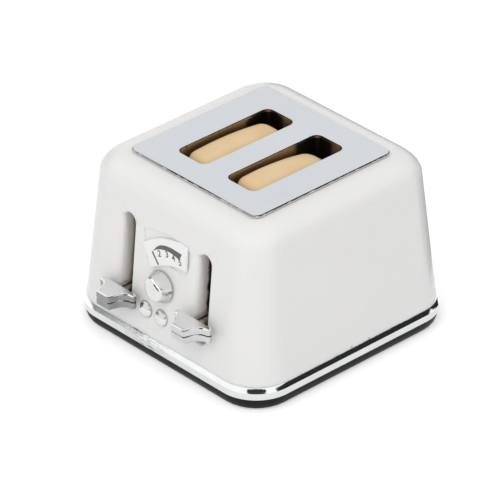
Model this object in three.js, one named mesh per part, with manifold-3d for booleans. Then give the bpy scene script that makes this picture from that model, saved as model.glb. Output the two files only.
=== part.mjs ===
// Miniature two-slice toaster for a doll's kitchen, one sixth of full size.
// Millimetres, +Z up, the front with its levers and dial towards -Y.
// The origin is the centre of the base's underside.
import * as THREE from "three";
import { mergeVertices } from "three/addons/utils/BufferGeometryUtils.js";
import Module from "manifold-3d";

const wasm = await Module();
wasm.setup();

// Fits that every piece shares
const seatGap = 0.3;
const runningGap = 0.25;
const cutOverrun = 1;
const weldDistance = 0.0001;

// Housing
const housingHalf = 26.67;
const housingTop = 37.04;
const housingCorner = 8.3;
const topCornerShare = 0.77;
const shoulderRadius = 4.15;
const draftAngle = THREE.MathUtils.degToRad(5.5);
const wall = 1.5;
const roof = 1.9;

// Bright band between the base and the housing
const bandMargin = 0.58;
const bandHalf = housingHalf + bandMargin;
const bandLand = 1.4;
const bandSlope = 1;
const bandCornerMargin = 0.2;
const bandCorner = housingCorner + bandCornerMargin;
const bandReveal = 0.1;
const bandEdge = 0.15;

// Base tray
const baseInset = 0.3;
const baseHalf = bandHalf - baseInset;
const baseHeight = 2.8;
const baseCornerMargin = 0.2;
const baseCorner = bandCorner - baseCornerMargin;
const footInset = 1.5;
const footRise = 2.2;
const baseFloor = 1.4;
const rimWall = 1.2;
const rimHeight = 2.8;
const rimTop = baseHeight + rimHeight;

// Top plate and its two bread slots
const plateInset = 8.67;
const plateHalf = housingHalf - plateInset;
const plateThickness = 0.65;
const plateCorner = 1.6;
const plateBevel = 0.12;
const slotOffset = 6.95;
const slotWidth = 7.8;
const slotMargin = 5.95;
const slotLength = 2 * (plateHalf - slotMargin);
const slotCorner = 1.5;
const studInset = 2.6;
const studOffset = plateHalf - studInset;
const studRadius = 0.8;
const studLength = 2.6;

// Bread wells under the slots
const wellMargin = 0.3;
const wellWall = 0.8;
const wellCorner = 1;
const flangeWidth = 0.8;
const flangeThickness = 0.8;
const wellFoot = 11.9;

// Bread slices, whose crowns lean a little to the back
const sliceFoot = 16.2;
const sliceSideGap = 0.45;
const sliceThickness = slotWidth - 2 * sliceSideGap;
const sliceEndGap = 1.45;
const sliceLength = slotLength - 2 * sliceEndGap;
const sliceReveal = 0.06;
const sliceHeight = housingTop + sliceReveal - sliceFoot;
const sliceCrown = 0.5;
const leftSliceLean = 0.4;
const rightSliceLean = 0.75;
const sliceLeans = { left: leftSliceLean, right: rightSliceLean };
const sliceTopCorner = 2.2;
const sliceFootCorner = 1.6;
const sliceSoftness = 1.2;

// Lever slots in the front face
const leverOffset = 10.8;
const leverSlotWidth = 3.5;
const leverSlotFoot = 9.6;
const leverSlotDrop = 8.24;
const leverSlotTop = housingTop - leverSlotDrop;
const guideWall = 1.2;
const guideDepth = 3.4;
const slotFlare = 0.25;

// Levers, at the two heights that they rest at
const leftLeverHeight = 12.1;
const rightLeverHeight = 14.4;
const stemGap = 0.4;
const stemWidth = leverSlotWidth - 2 * stemGap;
const stemHeight = 3;
const stemCorner = 1.2;
const handleStandoff = 0.53;
const handleBack = -housingHalf - handleStandoff;
const handleDepth = 4.7;
const handleFront = handleBack - handleDepth;
const handleHeight = 3.2;
const handleNose = 1.45;
const handleWaist = 2.4;
const handleWaistDepth = 0.6;
const handleCheek = 4.05;
const handleCheekDepth = 1;
const handleTip = 4.75;
const handleGroove = 0.3;
const grooveDepth = 0.28;
const handleBevel = 0.2;

// Carriages that the levers move on their guide rods
const carriageInset = 6.27;
const carriageFront = -housingHalf + carriageInset;
const carriageDepth = 4.8;
const carriageBack = carriageFront + carriageDepth;
const carriageInnerMargin = 1.75;
const carriageInner = slotOffset - carriageInnerMargin;
const carriageOuterMargin = 2;
const carriageOuter = leverOffset + carriageOuterMargin;
const carriageHeight = 7.6;
const carriageCorner = 0.8;
const shelfThickness = 1.6;
const shelfWidth = 2.4;
const shelfClearance = 0.55;
const shelfSetback = 1.6;
const shelfEnd = sliceLength / 2 - shelfSetback;
const rodRadius = 0.8;
const rodPlace = (carriageFront + carriageBack) / 2;
const socketWall = 0.9;
const socketHeight = 3.2;
const socketFloor = 0.5;

// Screws
const screwFaceShare = 0.8;
const leverScrewRadius = 0.5;
const leverScrewHead = 1.1;
const leverScrewHeadHeight = 0.7;
const leverScrewReach = 3.4;
const baseScrewRadius = 0.8;
const baseScrewHead = 1.6;
const baseScrewHeadHeight = 0.9;
const baseScrewLength = 8.2;
const baseScrewInset = 6.67;
const baseScrewPlace = housingHalf - baseScrewInset;
const columnRadius = 2.2;
const columnFoot = 4.4;
const columnDrop = 10.04;
const columnTop = housingTop - columnDrop;
const ribThickness = 1;
const headRecess = 0.5;
const driveRadius = 0.55;
const driveDepth = 0.4;

// Push buttons, their return pads and the bracket behind them
const leftButtonPlace = -4.5;
const rightButtonPlace = -0.05;
const buttonPlaces = { left: leftButtonPlace, right: rightButtonPlace };
const buttonRadius = 1.5;
const buttonRise = 1.1;
const buttonCrown = 0.7;
const buttonFlange = 2.1;
const buttonFlangeThickness = 0.6;
const padRadius = 1.5;
const padThickness = 1.5;
const bracketThickness = 0.8;
const bracketRim = 0.4;
const bracketHalfHeight = padRadius + bracketRim;
const bracketOverhang = 1.975;
const bracketHalfWidth = (rightButtonPlace - leftButtonPlace) / 2 + bracketOverhang;
const bossSpread = 2.9;
const bossRadius = 1.2;
const earHalfWidth = bossRadius + bracketRim;
const earMargin = 1.3;
const earHalfHeight = bossSpread + earMargin;
const bracketLift = 0.8;
const buttonHeight = rimTop + bracketLift + earHalfHeight;
const bracketScrewRadius = 0.45;
const bracketScrewHead = 0.9;
const bracketScrewHeadHeight = 0.5;
const bracketScrewLength = 2.4;

// Browning knob
const knobPlace = -0.4;
const knobLift = 6.8;
const knobHeight = buttonHeight + knobLift;
const knobBase = 3.3;
const knobFace = 2.4;
const knobLength = 2.6;
const knobEdge = 0.3;
const knobShaft = 0.9;
const knobShaftLength = 3.3;
const pointerWidth = 0.7;
const pointerLength = 1.5;
const pointerRise = 0.35;
const pointerTurn = THREE.MathUtils.degToRad(25);
const washerRadius = 2;
const washerThickness = 0.5;

// Scale plate above the knob, glued a little crooked over its upright seat
const dialThickness = 0.4;
const dialTopHalf = 6.5;
const dialFootHalf = 5.1;
const dialDepth = 5;
const dialTopRise = 1.3;
const dialFootRise = 0.9;
const dialPlace = 0.75;
const dialLift = 6.7;
const dialHeight = knobHeight + dialLift;
const dialTurn = THREE.MathUtils.degToRad(18);
const seatPlace = 0.35;
const seatLift = 0.3;
const seatHeight = dialHeight + seatLift;
const seatMargin = 0.45;
const seatDepth = 0.2;

// Facets
const cornerSteps = 8;
const slabSteps = 5;
const shoulderSteps = 8;
const cavitySteps = 4;
const curveSteps = 10;
const turnSteps = 14;
const buttonSteps = 24;
const knobSteps = 48;

// Heights that follow from the stack of base, band and housing
const housingFoot = baseHeight + bandLand + bandSlope;
const rimHalf = housingHalf - wall - bandReveal - seatGap;
const innerRoof = housingTop - roof;
const sides = { left: -1, right: 1 };
const leverHeights = { left: leftLeverHeight, right: rightLeverHeight };

// Half width of the housing's outer face at a height, on its straight drafted part.
function faceHalf(height) {
  return housingHalf - Math.tan(draftAngle) * (height - housingFoot);
}

// A closed solid from a geometry, moved by a matrix.
function solid(geometry, matrix = new THREE.Matrix4()) {
  const bare = new THREE.BufferGeometry();
  bare.setAttribute("position", geometry.getAttribute("position").clone());
  bare.setIndex(geometry.index);
  bare.applyMatrix4(matrix);
  const merged = mergeVertices(bare, weldDistance);
  const corners = merged.index.array;
  const kept = [];
  for (let i = 0; i < corners.length; i += 3) {
    const [a, b, c] = corners.subarray(i, i + 3);
    if (a !== b && b !== c && c !== a) kept.push(a, b, c);
  }
  return new wasm.Manifold(
    new wasm.Mesh({
      numProp: 3,
      vertProperties: merged.attributes.position.array,
      triVerts: new Uint32Array(kept),
    }),
  );
}

// Points of a rectangle with round corners, anticlockwise.
function roundedRing(halfX, halfY, corner, steps = slabSteps) {
  const ring = [];
  for (let quarter = 0; quarter < 4; quarter++) {
    const signX = quarter === 0 || quarter === 3 ? 1 : -1;
    const signY = quarter < 2 ? 1 : -1;
    for (let step = 0; step <= steps; step++) {
      const angle = ((quarter + step / steps) * Math.PI) / 2;
      ring.push(
        new THREE.Vector2(
          signX * (halfX - corner) + corner * Math.cos(angle),
          signY * (halfY - corner) + corner * Math.sin(angle),
        ),
      );
    }
  }
  return ring;
}

// A skin through rings of equal count, from the lowest to the highest, with flat ends.
function loft(levels) {
  const count = levels[0].ring.length;
  const positions = levels.flatMap(({ ring, z }) => ring.flatMap((p) => [p.x, p.y, z]));
  const index = [];
  for (let level = 0; level + 1 < levels.length; level++) {
    for (let i = 0; i < count; i++) {
      const next = (i + 1) % count;
      const low = level * count;
      const high = low + count;
      index.push(low + i, low + next, high + next, low + i, high + next, high + i);
    }
  }
  const bottomCentre = positions.length / 3;
  const topCentre = bottomCentre + 1;
  const top = (levels.length - 1) * count;
  positions.push(0, 0, levels[0].z, 0, 0, levels[levels.length - 1].z);
  for (let i = 0; i < count; i++) {
    const next = (i + 1) % count;
    index.push(bottomCentre, next, i, topCentre, top + i, top + next);
  }
  const geometry = new THREE.BufferGeometry();
  geometry.setAttribute("position", new THREE.Float32BufferAttribute(positions, 3));
  geometry.setIndex(index);
  return geometry;
}

// An upright slab with round corners between two heights.
function slab(halfX, halfY, corner, low, high, matrix) {
  const ring = roundedRing(halfX, halfY, corner);
  return solid(loft([{ ring, z: low }, { ring, z: high }]), matrix);
}

// A solid of revolution about its own Z, from pairs of radius and height, lowest first.
function turned(profile, matrix = new THREE.Matrix4(), steps = turnSteps) {
  const points = profile.map(([radius, height]) => new THREE.Vector2(radius, height));
  const upright = new THREE.Matrix4().makeRotationX(Math.PI / 2);
  return solid(new THREE.LatheGeometry(points, steps), matrix.clone().multiply(upright));
}

// A round bar about its own Z between two heights.
function bar(radius, low, high, matrix, steps) {
  return turned([[0, low], [radius, low], [radius, high], [0, high]], matrix, steps);
}

// A box between two corners.
function block(from, to) {
  const size = to.map((value, axis) => value - from[axis]);
  const middle = to.map((value, axis) => (value + from[axis]) / 2);
  return solid(new THREE.BoxGeometry(...size), new THREE.Matrix4().makeTranslation(...middle));
}

// Places: upright at a point, lying along +Y, or square to the drafted front face with Z outwards.
function at(x, y, z = 0) {
  return new THREE.Matrix4().makeTranslation(x, y, z);
}

function alongY(x, y, z) {
  return at(x, y, z).multiply(new THREE.Matrix4().makeRotationX(-Math.PI / 2));
}

function onFace(x, height) {
  const tilt = new THREE.Matrix4().makeRotationX(Math.PI / 2 - draftAngle);
  return at(x, -faceHalf(height), height).multiply(tilt);
}

// Levels of the housing's skin, drawn in by a wall on the sides and by a roof at the top.
function housingLevels(inset, drop, steps) {
  const radius = shoulderRadius - inset;
  const top = housingTop - drop;
  const centreHeight = top - radius;
  const tangentHeight = centreHeight + radius * Math.sin(draftAngle);
  const centreHalf = faceHalf(tangentHeight) - inset - radius * Math.cos(draftAngle);
  const outline = [[faceHalf(housingFoot) - inset, housingFoot]];
  for (let step = 0; step <= steps; step++) {
    const angle = THREE.MathUtils.lerp(draftAngle, Math.PI / 2, step / steps);
    outline.push([
      centreHalf + radius * Math.cos(angle),
      centreHeight + radius * Math.sin(angle),
    ]);
  }
  return outline.map(([half, z]) => {
    const share = (z - housingFoot) / (housingTop - housingFoot);
    const corner = housingCorner * THREE.MathUtils.lerp(1, topCornerShare, share) - inset;
    return { ring: roundedRing(half, half, corner, steps), z };
  });
}

// Slot of a lever, cut straight through along Y, with its outer edge flared on the drafted face.
function leverSlot(side) {
  const x = side * leverOffset;
  const middle = (leverSlotTop + leverSlotFoot) / 2;
  const halfHeight = (leverSlotTop - leverSlotFoot) / 2;
  const halfWidth = leverSlotWidth / 2;
  const reach = housingHalf + cutOverrun;
  const hole = slab(halfWidth, halfHeight, halfWidth, carriageFront, reach, alongYBack(x, middle));
  const inner = roundedRing(halfWidth, halfHeight, halfWidth);
  const grown = slotFlare + runningGap;
  const outer = roundedRing(halfWidth + grown, halfHeight + grown, halfWidth + grown);
  const flare = loft([{ ring: inner, z: -slotFlare }, { ring: outer, z: runningGap }]);
  return hole.add(solid(flare, onFace(x, middle)));
}

// Lying towards -Y, so that a length along its own Z runs out of the front.
function alongYBack(x, z) {
  return at(x, 0, z).multiply(new THREE.Matrix4().makeRotationX(Math.PI / 2));
}

function bossPlaces() {
  const middle = (buttonPlaces.left + buttonPlaces.right) / 2;
  return [buttonHeight - bossSpread, buttonHeight + bossSpread].map((height) => ({
    x: middle,
    height,
  }));
}

function screwPlaces() {
  const places = [];
  for (const y of [-baseScrewPlace, baseScrewPlace]) {
    for (const x of [-baseScrewPlace, baseScrewPlace]) places.push([x, y]);
  }
  return places;
}

function studPlaces() {
  return screwPlaces().map((place) => place.map((value) => Math.sign(value) * studOffset));
}

// Drafted shell with big shoulders, open below, with guide frames, bosses and every opening.
function housing() {
  const outer = solid(loft(housingLevels(0, 0, shoulderSteps)));
  const cavityLevels = housingLevels(wall, roof, cavitySteps);
  const mouth = { ring: cavityLevels[0].ring, z: housingFoot - cutOverrun };
  let shell = outer.subtract(solid(loft([mouth, ...cavityLevels])));
  let inside = null;
  const gather = (piece) => {
    inside = inside ? inside.add(piece) : piece;
  };
  for (const side of Object.values(sides)) {
    const middle = (leverSlotTop + leverSlotFoot) / 2;
    const halfHeight = (leverSlotTop - leverSlotFoot) / 2 + guideWall;
    const halfWidth = leverSlotWidth / 2 + guideWall;
    gather(slab(halfWidth, halfHeight, halfWidth, -guideDepth, 0, onFace(side * leverOffset, middle)));
    const socketRadius = rodRadius + runningGap + socketWall;
    gather(bar(socketRadius, innerRoof - socketHeight / 2, innerRoof + roof / 2, at(side * slotOffset, rodPlace)));
  }
  for (const [x, y] of screwPlaces()) {
    gather(bar(columnRadius, housingFoot, columnTop, at(x, y)));
    gather(columnRib(x, y, true));
    gather(columnRib(x, y, false));
  }
  for (const { x, height } of bossPlaces()) gather(bar(bossRadius, -bracketSeat(), 0, onFace(x, height)));
  shell = shell.add(inside.intersect(outer));
  for (const [x, y] of screwPlaces()) {
    shell = shell.add(bar(columnRadius, columnFoot, housingFoot + cutOverrun, at(x, y)));
  }
  return shell.subtract(housingCuts());
}

// Rib that ties a screw column to the side wall beside it, or to the front or back wall.
function columnRib(x, y, towardsSide) {
  const reach = housingHalf - baseScrewPlace;
  const low = rimTop + seatGap;
  const size = towardsSide ? [reach, ribThickness] : [ribThickness, reach];
  const shiftX = towardsSide ? (Math.sign(x) * reach) / 2 : 0;
  const shiftY = towardsSide ? 0 : (Math.sign(y) * reach) / 2;
  const place = at(x + shiftX, y + shiftY, (low + columnTop) / 2);
  return solid(new THREE.BoxGeometry(...size, columnTop - low), place);
}

// Everything that is cut from the housing's shell.
function housingCuts() {
  let cuts = leverSlot(sides.left).add(leverSlot(sides.right));
  const cut = (piece) => {
    cuts = cuts.add(piece);
  };
  const over = housingTop + cutOverrun;
  for (const side of Object.values(sides)) {
    const place = at(side * slotOffset, 0);
    const tubeX = slotWidth / 2 + wellMargin + wellWall + runningGap;
    const tubeY = slotLength / 2 + wellMargin + wellWall + runningGap;
    cut(slab(tubeX, tubeY, wellCorner + wellWall, innerRoof - cutOverrun, over, place));
    const seatLow = housingTop - flangeThickness;
    cut(slab(tubeX + flangeWidth, tubeY + flangeWidth, wellCorner + wellWall, seatLow, over, place));
    const socket = rodRadius + runningGap;
    cut(bar(socket, innerRoof - socketHeight, innerRoof, at(side * slotOffset, rodPlace)));
  }
  for (const [x, y] of studPlaces()) cut(bar(studRadius + seatGap, innerRoof - cutOverrun, over, at(x, y)));
  for (const [x, y] of screwPlaces()) {
    const pilotTop = baseScrewFoot() + baseScrewLength + cutOverrun;
    cut(bar(baseScrewRadius + runningGap, columnFoot - cutOverrun, pilotTop, at(x, y)));
  }
  cut(bar(knobShaft + seatGap, -wall - cutOverrun, cutOverrun, onFace(knobPlace, knobHeight)));
  for (const x of Object.values(buttonPlaces)) {
    cut(bar(buttonRadius + runningGap, -wall - cutOverrun, cutOverrun, onFace(x, buttonHeight)));
  }
  const seat = onFace(seatPlace, seatHeight).multiply(at(0, 0, -seatDepth));
  cut(dialShape(seatMargin, seatDepth + cutOverrun, seat));
  for (const { x, height } of bossPlaces()) {
    const pilot = bracketSeat() - bracketScrewLength;
    cut(bar(bracketScrewRadius + runningGap, -bracketSeat() - cutOverrun, -pilot, onFace(x, height)));
  }
  return cuts;
}

// Depth behind the front face at which the button bracket is screwed on.
function bracketSeat() {
  return wall + seatGap / 2 + buttonFlangeThickness + padThickness + seatGap / 2;
}

// Bright plate over the housing's roof, with two bread slots and four studs.
function topPlate() {
  const outline = (halfX, halfY, corner, x) =>
    roundedRing(halfX, halfY, corner).map((point) => point.add(new THREE.Vector2(x, 0)));
  const shape = new THREE.Shape(outline(plateHalf, plateHalf, plateCorner, 0));
  for (const side of Object.values(sides)) {
    const hole = outline(slotWidth / 2, slotLength / 2, slotCorner, side * slotOffset);
    shape.holes.push(new THREE.Path(hole.reverse()));
  }
  const plate = new THREE.ExtrudeGeometry(shape, {
    depth: plateThickness - 2 * plateBevel,
    bevelThickness: plateBevel,
    bevelSize: plateBevel,
    bevelOffset: -plateBevel,
    bevelSegments: 1,
  });
  let made = solid(plate, at(0, 0, housingTop + plateBevel));
  for (const [x, y] of studPlaces()) {
    made = made.add(bar(studRadius, housingTop - studLength, housingTop + plateThickness / 2, at(x, y)));
  }
  return made;
}

// Dark tube under a bread slot, with a flange round its top and a slit in front for the shelf.
function well(side) {
  const place = at(side * slotOffset, 0);
  const innerX = slotWidth / 2 + wellMargin;
  const innerY = slotLength / 2 + wellMargin;
  const outerCorner = wellCorner + wellWall;
  const flangeLow = housingTop - flangeThickness;
  let made = slab(innerX + wellWall, innerY + wellWall, outerCorner, wellFoot, housingTop, place);
  const lipX = innerX + wellWall + flangeWidth;
  const lipY = innerY + wellWall + flangeWidth;
  made = made.add(slab(lipX, lipY, outerCorner, flangeLow, housingTop, place));
  const under = wellFoot - cutOverrun;
  made = made.subtract(slab(innerX, innerY, wellCorner, under, housingTop + cutOverrun, place));
  const gap = shelfWidth / 2 + shelfClearance;
  const slitTop = shelfTopLimit() + seatGap * 2;
  const x = side * slotOffset;
  const slitFront = -innerY - wellWall - cutOverrun;
  return made.subtract(block([x - gap, slitFront, under], [x + gap, -innerY + wellCorner, slitTop]));
}

// Height of the shelf's top, just under its slice.
function shelfTop() {
  return sliceFoot - seatGap;
}

// Height of a shelf's top once the lower lever is at the top of its slot.
function shelfTopLimit() {
  const travel = leverSlotTop - seatGap - stemHeight / 2 - Math.min(leftLeverHeight, rightLeverHeight);
  return shelfTop() + travel;
}

// Bright ring with an upright side and a sloping top, round the foot of the housing.
function baseBand() {
  const low = baseHeight;
  const landTop = low + bandLand;
  const innerHalf = housingHalf + bandReveal;
  const outline = [
    [bandHalf - bandEdge, low],
    [bandHalf, low + bandEdge],
    [bandHalf, landTop - bandEdge],
    [bandHalf - bandEdge, landTop + bandEdge],
    [innerHalf, housingFoot],
  ];
  const levels = outline.map(([half, z]) => ({
    ring: roundedRing(half, half, bandCorner + half - bandHalf, cornerSteps),
    z,
  }));
  const openHalf = rimHalf + seatGap;
  const openCorner = housingCorner - (housingHalf - openHalf);
  const opening = slab(openHalf, openHalf, openCorner, low - cutOverrun, housingFoot + cutOverrun);
  return solid(loft(levels)).subtract(opening);
}

// Dark tray with a rounded foot, a locating rim, rod sockets and four screw seats.
function base() {
  const levels = [];
  const footSteps = slabSteps;
  for (let step = 0; step <= footSteps; step++) {
    const angle = (step / footSteps) * (Math.PI / 2);
    const half = baseHalf - footInset * (1 - Math.sin(angle));
    levels.push({ half, z: footRise * (1 - Math.cos(angle)) });
  }
  levels.push({ half: baseHalf, z: baseHeight });
  const body = levels.map(({ half, z }) => ({
    ring: roundedRing(half, half, baseCorner + half - baseHalf, cornerSteps),
    z,
  }));
  const rimCorner = housingCorner - (housingHalf - rimHalf);
  const hollowHalf = rimHalf - rimWall;
  let made = solid(loft(body));
  made = made.add(slab(rimHalf, rimHalf, rimCorner, baseFloor, rimTop));
  made = made.subtract(slab(hollowHalf, hollowHalf, rimCorner - rimWall, baseFloor, rimTop + cutOverrun));
  for (const side of Object.values(sides)) {
    const place = at(side * slotOffset, rodPlace);
    made = made.add(bar(rodRadius + runningGap + socketWall, baseFloor / 2, baseFloor + socketHeight, place));
    made = made.subtract(bar(rodRadius + runningGap, rodFoot(), baseFloor + socketHeight + cutOverrun, place));
  }
  for (const [x, y] of screwPlaces()) {
    made = made.add(bar(columnRadius, baseFloor / 2, columnFoot, at(x, y)));
    made = made.subtract(bar(baseScrewRadius + seatGap, -cutOverrun, columnFoot + cutOverrun, at(x, y)));
    const seat = headRecess + baseScrewHeadHeight;
    made = made.subtract(bar(baseScrewHead + seatGap, -cutOverrun, seat, at(x, y)));
  }
  return made;
}

function rodFoot() {
  return baseFloor + socketFloor;
}

function baseScrewFoot() {
  return headRecess + baseScrewHeadHeight;
}

// A pan-head screw about its own Z, its head below zero and its shank above, with a round drive.
function screw(headRadius, headHeight, shankRadius, length, matrix) {
  const made = turned(
    [
      [0, -headHeight],
      [headRadius * screwFaceShare, -headHeight],
      [headRadius, -headHeight / 2],
      [headRadius, 0],
      [shankRadius, 0],
      [shankRadius, length - shankRadius],
      [shankRadius / 2, length],
      [0, length],
    ],
    matrix,
  );
  const share = Math.min(1, headRadius / baseScrewHead);
  const depth = driveDepth * share;
  return made.subtract(bar(driveRadius * share, -headHeight - cutOverrun, depth - headHeight, matrix));
}

// A tapering plate with curved long edges, widened by a margin, about its own middle.
function dialShape(margin, thickness, matrix) {
  const top = dialTopHalf + margin;
  const foot = dialFootHalf + margin;
  const half = dialDepth / 2 + margin;
  const shape = new THREE.Shape();
  shape.moveTo(-foot, -half);
  shape.quadraticCurveTo(0, -half + 2 * dialFootRise, foot, -half);
  shape.lineTo(top, half);
  shape.quadraticCurveTo(0, half + 2 * dialTopRise, -top, half);
  shape.closePath();
  const plate = new THREE.ExtrudeGeometry(shape, {
    depth: thickness,
    bevelEnabled: false,
    curveSegments: curveSteps,
  });
  return solid(plate, matrix);
}

// Plate for the browning scale, turned a little on the face.
function dialPlate() {
  const turn = new THREE.Matrix4().makeRotationZ(dialTurn);
  const lift = at(0, 0, runningGap / 5);
  return dialShape(0, dialThickness, onFace(dialPlace, dialHeight).multiply(lift).multiply(turn));
}

// Tapered bright knob with a raised pointer and a shaft through the face.
function knob() {
  const place = onFace(knobPlace, knobHeight);
  const made = turned(
    [
      [0, -knobShaftLength],
      [knobShaft, -knobShaftLength],
      [knobShaft, seatGap],
      [knobBase, seatGap],
      [knobBase, seatGap + knobEdge],
      [knobFace, knobLength - knobEdge],
      [knobFace - knobEdge, knobLength],
      [0, knobLength],
    ],
    place,
    knobSteps,
  );
  const middle = knobFace - pointerLength / 2;
  const pointer = slab(
    pointerWidth / 2,
    pointerLength / 2,
    pointerWidth / 2,
    knobLength - knobEdge,
    knobLength + pointerRise,
    place.clone().multiply(new THREE.Matrix4().makeRotationZ(pointerTurn)).multiply(at(0, middle)),
  );
  return made.add(pointer);
}

// Push-on washer that keeps the knob's shaft in the face.
function knobWasher() {
  const place = onFace(knobPlace, knobHeight);
  const high = -wall - seatGap;
  const low = high - washerThickness;
  const ring = bar(washerRadius, low, high, place);
  return ring.subtract(bar(knobShaft + runningGap / 2, low - cutOverrun, high + cutOverrun, place));
}

// Domed button with a flange that stops it behind the face.
function button(x) {
  const flangeTop = -wall - seatGap / 2;
  const flangeLow = flangeTop - buttonFlangeThickness;
  const profile = [[0, flangeLow], [buttonFlange, flangeLow], [buttonFlange, flangeTop], [buttonRadius, flangeTop]];
  const domeSteps = 5;
  for (let step = 0; step <= domeSteps; step++) {
    const angle = (step / domeSteps) * (Math.PI / 2);
    const height = buttonRise - buttonCrown * (1 - Math.sin(angle));
    profile.push([buttonRadius * Math.cos(angle), height]);
  }
  profile[profile.length - 1][0] = 0;
  return turned(profile, onFace(x, buttonHeight), buttonSteps);
}

// Soft pad that pushes a button back out.
function buttonPad(x) {
  const high = -wall - seatGap / 2 - buttonFlangeThickness - seatGap / 4;
  const low = -bracketSeat() + seatGap / 4;
  return bar(padRadius, low, high, onFace(x, buttonHeight));
}

// Cross-shaped bracket that backs both pads.
function buttonBracket() {
  const middle = (buttonPlaces.left + buttonPlaces.right) / 2;
  const place = onFace(middle, buttonHeight);
  const high = -bracketSeat();
  const low = high - bracketThickness;
  const across = slab(bracketHalfWidth, bracketHalfHeight, bracketHalfHeight, low, high, place);
  const upright = slab(earHalfWidth, earHalfHeight, earHalfWidth, low, high, place);
  let made = across.add(upright);
  for (const { x, height } of bossPlaces()) {
    const hole = bracketScrewRadius + runningGap;
    made = made.subtract(bar(hole, low - cutOverrun, high + cutOverrun, onFace(x, height)));
  }
  return made;
}

// Two-tier handle with hollow cheeks and round tips, and the stem that goes through the face.
function lever(side) {
  const height = leverHeights[side];
  const outline = (inset) => {
    const shape = new THREE.Shape();
    const nose = handleNose - inset / 2;
    const waist = handleWaist - inset / 2;
    const cheek = handleCheek - inset / 2;
    const tip = 2 * handleTip - handleCheek - inset;
    const front = handleFront + inset;
    const waistFront = handleBack - handleWaistDepth + inset / 2;
    const cheekFront = handleBack - handleCheekDepth + inset / 2;
    const middle = (cheekFront + handleBack) / 2;
    shape.moveTo(-nose, front);
    shape.lineTo(nose, front);
    shape.quadraticCurveTo(waist, waistFront, cheek, cheekFront);
    shape.quadraticCurveTo(tip, middle, cheek, handleBack);
    shape.lineTo(-cheek, handleBack);
    shape.quadraticCurveTo(-tip, middle, -cheek, cheekFront);
    shape.quadraticCurveTo(-waist, waistFront, -nose, front);
    return shape;
  };
  const tier = (inset, low, high) =>
    solid(
      new THREE.ExtrudeGeometry(outline(inset), {
        depth: high - low,
        bevelEnabled: false,
        curveSegments: slabSteps,
      }),
      at(sides[side] * leverOffset, 0, height + low),
    );
  const half = handleHeight / 2;
  const groove = handleGroove / 2;
  let made = tier(0, -half + handleBevel, -groove).add(tier(0, groove, half - handleBevel));
  made = made.add(tier(grooveDepth, -half, half));
  const stem = slab(
    stemWidth / 2,
    stemHeight / 2,
    stemCorner,
    -carriageFront,
    -handleBack + cutOverrun,
    alongYBack(sides[side] * leverOffset, height),
  );
  const reach = leverScrewReach + seatGap;
  const pilot = bar(
    leverScrewRadius + runningGap,
    -cutOverrun,
    reach,
    alongYBack(sides[side] * leverOffset, height).multiply(at(0, 0, -carriageFront)),
  );
  return made.add(stem).subtract(pilot);
}

// Sliding block on the guide rod, level on both sides, with the shelf that carries the slice.
function carriage(side) {
  const height = leverHeights[side];
  const level = (leftLeverHeight + rightLeverHeight) / 2;
  const sign = sides[side];
  const middle = (carriageOuter + carriageInner) / 2;
  const halfX = (carriageOuter - carriageInner) / 2;
  const depth = (carriageBack - carriageFront) / 2;
  const centreY = (carriageBack + carriageFront) / 2;
  const low = level - carriageHeight / 2;
  const high = level + carriageHeight / 2;
  let made = slab(halfX, depth, carriageCorner, low, high, at(sign * middle, centreY));
  const x = sign * slotOffset;
  const top = shelfTop();
  const half = shelfWidth / 2;
  made = made.add(block([x - half, carriageBack - carriageCorner, top - shelfThickness], [x + half, shelfEnd, top]));
  made = made.subtract(bar(rodRadius + runningGap, low - cutOverrun, high + cutOverrun, at(x, rodPlace)));
  const hole = bar(
    leverScrewRadius + runningGap,
    -cutOverrun,
    carriageBack - carriageFront + cutOverrun,
    alongY(sign * leverOffset, carriageFront, height),
  );
  return made.subtract(hole);
}

// Screw from behind the carriage into the lever's stem.
function leverScrew(side) {
  const place = alongYBack(sides[side] * leverOffset, leverHeights[side]);
  const length = carriageBack - carriageFront + leverScrewReach;
  return screw(
    leverScrewHead,
    leverScrewHeadHeight,
    leverScrewRadius,
    length,
    place.multiply(at(0, 0, -carriageBack)),
  );
}

// Upright rod from the base's socket to the one under the roof.
function guideRod(side) {
  return bar(rodRadius, rodFoot(), innerRoof, at(sides[side] * slotOffset, rodPlace));
}

// Slice with a crowned top, round corners and soft edges, on its shelf.
function slice(side) {
  const soft = sliceSoftness;
  const half = sliceLength / 2 - soft;
  const low = soft;
  const high = sliceHeight - soft;
  const front = high - sliceCrown + sliceLeans[side];
  const rear = high - sliceCrown - sliceLeans[side];
  const foot = Math.max(sliceFootCorner - soft, soft / 4);
  const crest = sliceTopCorner - soft;
  const shape = new THREE.Shape();
  shape.moveTo(-half + foot, low);
  shape.lineTo(half - foot, low);
  shape.quadraticCurveTo(half, low, half, low + foot);
  shape.lineTo(half, rear - crest);
  shape.quadraticCurveTo(half, rear, half - crest, rear);
  shape.quadraticCurveTo(0, high + sliceCrown, -half + crest, front);
  shape.quadraticCurveTo(-half, front, -half, front - crest);
  shape.lineTo(-half, low + foot);
  shape.quadraticCurveTo(-half, low, -half + foot, low);
  const crumb = new THREE.ExtrudeGeometry(shape, {
    depth: sliceThickness - 2 * soft,
    bevelThickness: soft,
    bevelSize: soft,
    bevelSegments: 3,
    curveSegments: slabSteps,
  });
  // The outline lies in the Y-Z plane and the thickness along X.
  const stand = new THREE.Matrix4().makeBasis(
    new THREE.Vector3(0, 1, 0),
    new THREE.Vector3(0, 0, 1),
    new THREE.Vector3(1, 0, 0),
  );
  const x = sides[side] * slotOffset - sliceThickness / 2 + soft;
  return solid(crumb, at(x, 0, sliceFoot).multiply(stand));
}

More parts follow.
